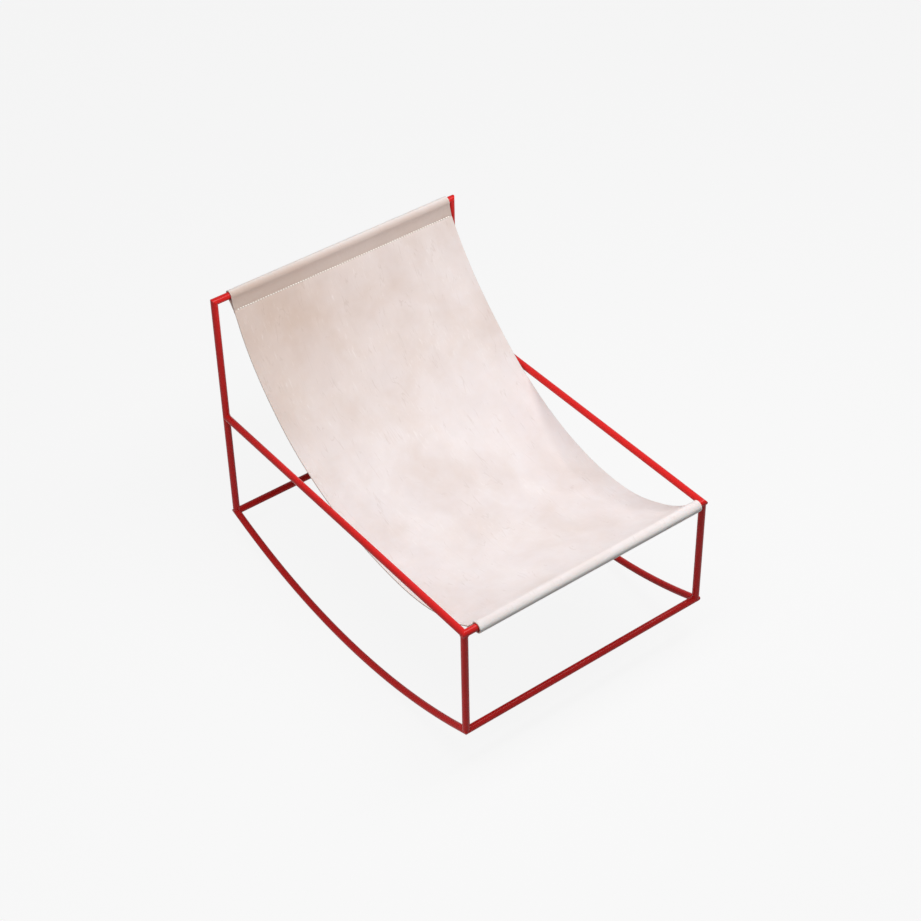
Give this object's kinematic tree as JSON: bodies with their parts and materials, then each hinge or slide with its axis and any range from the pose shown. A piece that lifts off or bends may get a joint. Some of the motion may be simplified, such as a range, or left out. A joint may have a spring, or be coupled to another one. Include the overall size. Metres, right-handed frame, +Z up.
{
  "type": "rocking chair",
  "caption": "Rocking lounge chair: a welded frame of round red tube on two curved rockers, with one leather sling hung between its top and front tubes as seat and back.",
  "frame": {"origin": "on the ground, under the middle of the chair's outline at rest", "axes": "+X to the right as seen from the front, +Y to the back, +Z up; the seat faces -Y"},
  "size_m": [0.65, 0.9122, 0.6791],
  "materials": {
    "frame_paint": "semi-gloss red powder coat",
    "leather": "undyed vegetable-tanned leather, matt, with fine grain",
    "thread": "waxed cream thread"
  },
  "bodies": {
    "frame": {"top_cross_tube": "frame_paint", "front_cross_tube": "frame_paint", "front_floor_cross_tube": "frame_paint", "rear_floor_cross_tube": "frame_paint", "rocker_left": "frame_paint", "front_post_left": "frame_paint", "back_post_left": "frame_paint", "side_rail_left": "frame_paint", "rocker_right": "frame_paint", "front_post_right": "frame_paint", "back_post_right": "frame_paint", "side_rail_right": "frame_paint", "front_lower_weld_left": "frame_paint", "front_upper_weld_left": "frame_paint", "back_lower_weld_left": "frame_paint", "rail_weld_left": "frame_paint", "front_lower_weld_right": "frame_paint", "front_upper_weld_right": "frame_paint", "back_lower_weld_right": "frame_paint", "rail_weld_right": "frame_paint"},
    "sling": {"sling_panel": "leather", "top_hem_stitching": "thread", "front_hem_stitching": "thread"}
  },
  "joints": [
    {"name": "sling_shift", "type": "slide", "parent": "frame", "child": "sling", "axis": [1, 0, 0], "range_m": [-0.02, 0.0015]}
  ]
}
